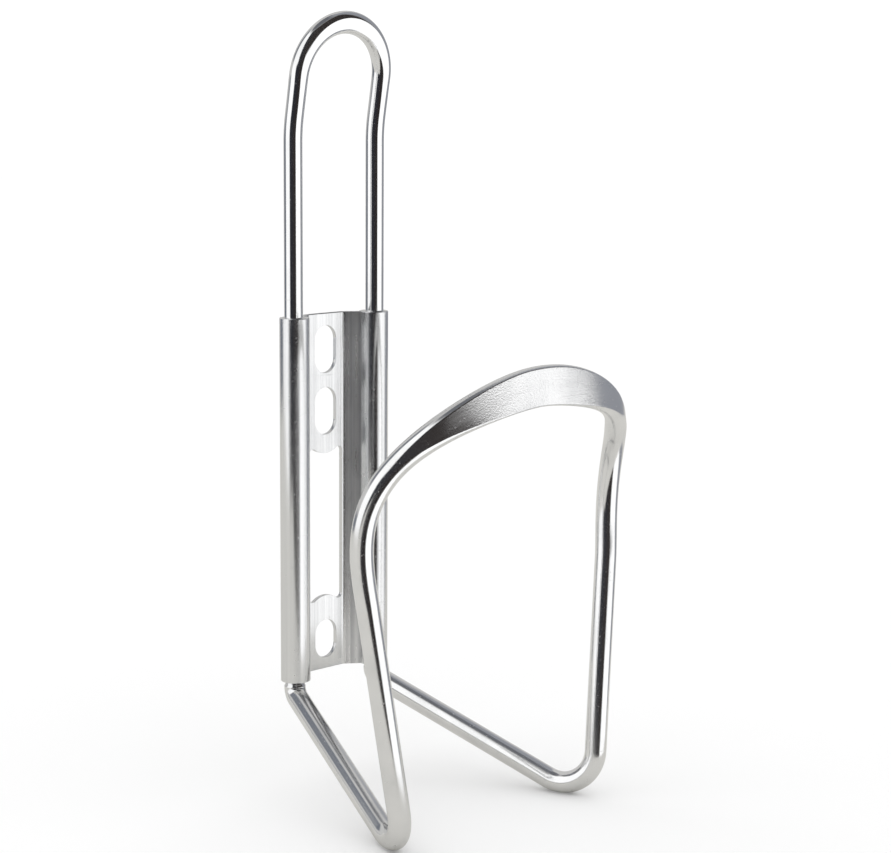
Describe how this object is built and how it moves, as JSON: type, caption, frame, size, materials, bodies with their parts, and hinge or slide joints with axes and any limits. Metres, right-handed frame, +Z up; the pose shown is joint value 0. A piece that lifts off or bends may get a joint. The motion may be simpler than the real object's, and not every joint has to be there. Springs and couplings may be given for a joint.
{
  "type": "bicycle bottle cage",
  "caption": "Aluminium bottle cage with a slotted backplate, an upper wire hoop and a lower rod loop whose flattened front strap wraps a round drinks bottle.",
  "frame": {"origin": "on the backplate's mounting face, in the middle of its width and halfway between the two slots that take the frame bosses", "axes": "+Z up along the bottle, +Y out of the mounting face towards the bicycle frame, +X across the plate; the bottle stands on the -Y side"},
  "size_m": [0.0948, 0.0839, 0.2087],
  "materials": {
    "extruded_aluminium": "bright satin with fine extrusion lines",
    "polished_aluminium": "polished"
  },
  "bodies": {
    "root": {"backplate": "extruded_aluminium", "upper_hoop": "polished_aluminium", "lower_loop": "polished_aluminium"}
  },
  "joints": []
}
